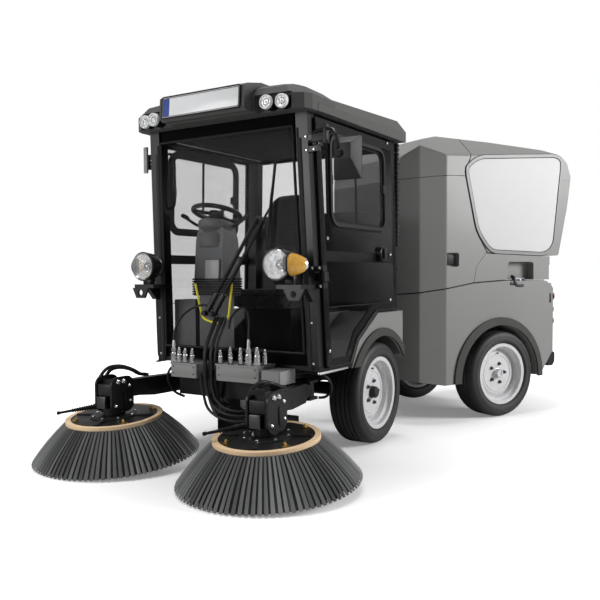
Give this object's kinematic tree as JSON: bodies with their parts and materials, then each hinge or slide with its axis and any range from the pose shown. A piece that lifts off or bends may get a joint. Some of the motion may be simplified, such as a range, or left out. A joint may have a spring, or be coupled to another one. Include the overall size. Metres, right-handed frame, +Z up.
{
  "type": "compact road sweeper",
  "caption": "Compact articulated road sweeper: glazed cab with two front disc brushes, steering pivot, and a rear unit with a tipping hopper and tailgate.",
  "frame": {"origin": "on the ground under the middle of the whole machine as parked, with the rear unit turned 27.14 degrees about the steering pivot", "axes": "+Z up, the cab faces -Y and its left side is +X, so the row's +Y runs from the cab back to the hopper unit"},
  "size_m": [2.1304, 3.7061, 1.9239],
  "materials": {
    "body_grey": "warm grey satin body panels",
    "cab_black": "black powder-coated steel",
    "chassis_black": "black chassis paint",
    "roof_grey": "grained dark grey roof moulding",
    "lip_rubber": "dark grey rubber wheel-arch lips",
    "tyre": "black tyre rubber",
    "rim_white": "white gloss wheel paint",
    "clear_glass": "clear safety glass",
    "door_glass": "tinted door glass",
    "lamp_black": "black lamp housings",
    "lamp_lens": "clear lamp lenses",
    "box_grey": "grey connector boxes",
    "console_grey": "dark grey console",
    "seat_cloth": "black seat cloth",
    "seat_shell": "black seat base",
    "wheel_black": "black steering wheel",
    "brush_black": "black brush head and disc",
    "brush_ring": "tan brush block ring",
    "bristle": "dark grey brush bristles",
    "hose_black": "black hydraulic hose",
    "panel_white": "light side panels of the hopper",
    "engine_paint": "dark engine"
  },
  "bodies": {
    "front_unit": {"front_frame": "chassis_black", "front_axle": "chassis_black", "suction_mouth": "chassis_black", "cab_floor": "chassis_black", "cab_posts": "cab_black", "cab_rails": "cab_black", "cab_rear_wall": "cab_black", "cab_windows": "clear_glass", "cab_roof": "roof_grey", "work_lamps": "lamp_lens", "headlights": "lamp_black", "headlight_brackets": "chassis_black", "left_mirror": "lamp_black", "seat_base": "seat_shell", "seat_cushion": "seat_cloth", "seat_back": "seat_cloth", "steering_console": "console_grey", "steering_wheel": "wheel_black", "connector_boxes": "box_grey", "coupler_hoses": "hose_black", "front_fenders": "body_grey", "front_arch_lips": "lip_rubber"},
    "rear_unit": {"rear_frame": "chassis_black", "rear_axle": "chassis_black", "engine_block": "engine_paint", "rear_fenders": "body_grey", "rear_arch_lips": "lip_rubber", "rear_bumper": "chassis_black", "rear_grille": "chassis_black", "rear_duct": "chassis_black", "water_tank": "body_grey", "front_cover": "body_grey", "hopper_base": "body_grey"},
    "hopper": {"hopper_tub": "body_grey", "hopper_hood": "body_grey", "hopper_side_panels": "panel_white"},
    "tailgate": {"tailgate": "body_grey"},
    "left_door": {"left_door_frame": "cab_black", "left_door_glass": "door_glass"},
    "left_arm": {"left_brush_arm": "brush_black", "left_brush_hoses": "hose_black"},
    "left_brush": {"left_brush_disc": "brush_black", "left_brush_ring": "brush_ring", "left_brush_bristles": "bristle"},
    "right_door": {"right_door_frame": "cab_black", "right_door_glass": "door_glass"},
    "right_arm": {"right_brush_arm": "brush_black", "right_brush_hoses": "hose_black"},
    "right_brush": {"right_brush_disc": "brush_black", "right_brush_ring": "brush_ring", "right_brush_bristles": "bristle"},
    "front_left_wheel": {"front_left_rim": "rim_white", "front_left_tyre": "tyre"},
    "front_right_wheel": {"front_right_rim": "rim_white", "front_right_tyre": "tyre"},
    "rear_left_wheel": {"rear_left_rim": "rim_white", "rear_left_tyre": "tyre"},
    "rear_right_wheel": {"rear_right_rim": "rim_white", "rear_right_tyre": "tyre"}
  },
  "joints": [
    {"name": "steering_pivot", "type": "hinge", "parent": "front_unit", "child": "rear_unit", "pos_m": [-0.1482, 0.1835, 0.3], "axis": [0, 0, 1], "range_deg": [-10.86, 65.14]},
    {"name": "hopper_tip", "type": "hinge", "parent": "rear_unit", "child": "hopper", "pos_m": [0.49956, 1.44715, 1.076], "axis": [-0.8899, 0.4562, 0], "range_deg": [0, 50]},
    {"name": "tailgate_hinge", "type": "hinge", "parent": "hopper", "child": "tailgate", "pos_m": [0.58303, 1.61, 1.62], "axis": [0.8899, -0.4562, 0], "range_deg": [0, 60]},
    {"name": "left_door_hinge", "type": "hinge", "parent": "front_unit", "child": "left_door", "pos_m": [0.42477, -1.03153, 0.49156], "axis": [-0.0204, -0.0525, 0.9984], "range_deg": [-70, 0]},
    {"name": "left_arm_swing", "type": "hinge", "parent": "front_unit", "child": "left_arm", "pos_m": [0.2518, -0.9475, 0.38], "axis": [0, 0, 1], "range_deg": [-5, 20]},
    {"name": "left_brush_spin", "type": "hinge", "parent": "left_arm", "child": "left_brush", "pos_m": [0.3368, -1.4395, 0.232], "axis": [0, -0.0872, 0.9962], "continuous": true},
    {"name": "right_door_hinge", "type": "hinge", "parent": "front_unit", "child": "right_door", "pos_m": [-0.72117, -1.03153, 0.49156], "axis": [0.0204, -0.0525, 0.9984], "range_deg": [0, 70]},
    {"name": "right_arm_swing", "type": "hinge", "parent": "front_unit", "child": "right_arm", "pos_m": [-0.5482, -0.9475, 0.38], "axis": [0, 0, 1], "range_deg": [-20, 5]},
    {"name": "right_brush_spin", "type": "hinge", "parent": "right_arm", "child": "right_brush", "pos_m": [-0.6332, -1.4395, 0.232], "axis": [0, -0.0872, 0.9962], "continuous": true},
    {"name": "front_left_wheel_spin", "type": "hinge", "parent": "front_unit", "child": "front_left_wheel", "pos_m": [0.2913, -0.3575, 0.292], "axis": [1, 0, 0], "continuous": true},
    {"name": "front_right_wheel_spin", "type": "hinge", "parent": "front_unit", "child": "front_right_wheel", "pos_m": [-0.5877, -0.3575, 0.292], "axis": [1, 0, 0], "continuous": true},
    {"name": "rear_left_wheel_spin", "type": "hinge", "parent": "rear_unit", "child": "rear_left_wheel", "pos_m": [0.67262, 0.8213, 0.292], "axis": [0.8899, -0.4562, 0], "continuous": true},
    {"name": "rear_right_wheel_spin", "type": "hinge", "parent": "rear_unit", "child": "rear_right_wheel", "pos_m": [-0.1096, 1.22227, 0.292], "axis": [0.8899, -0.4562, 0], "continuous": true}
  ]
}
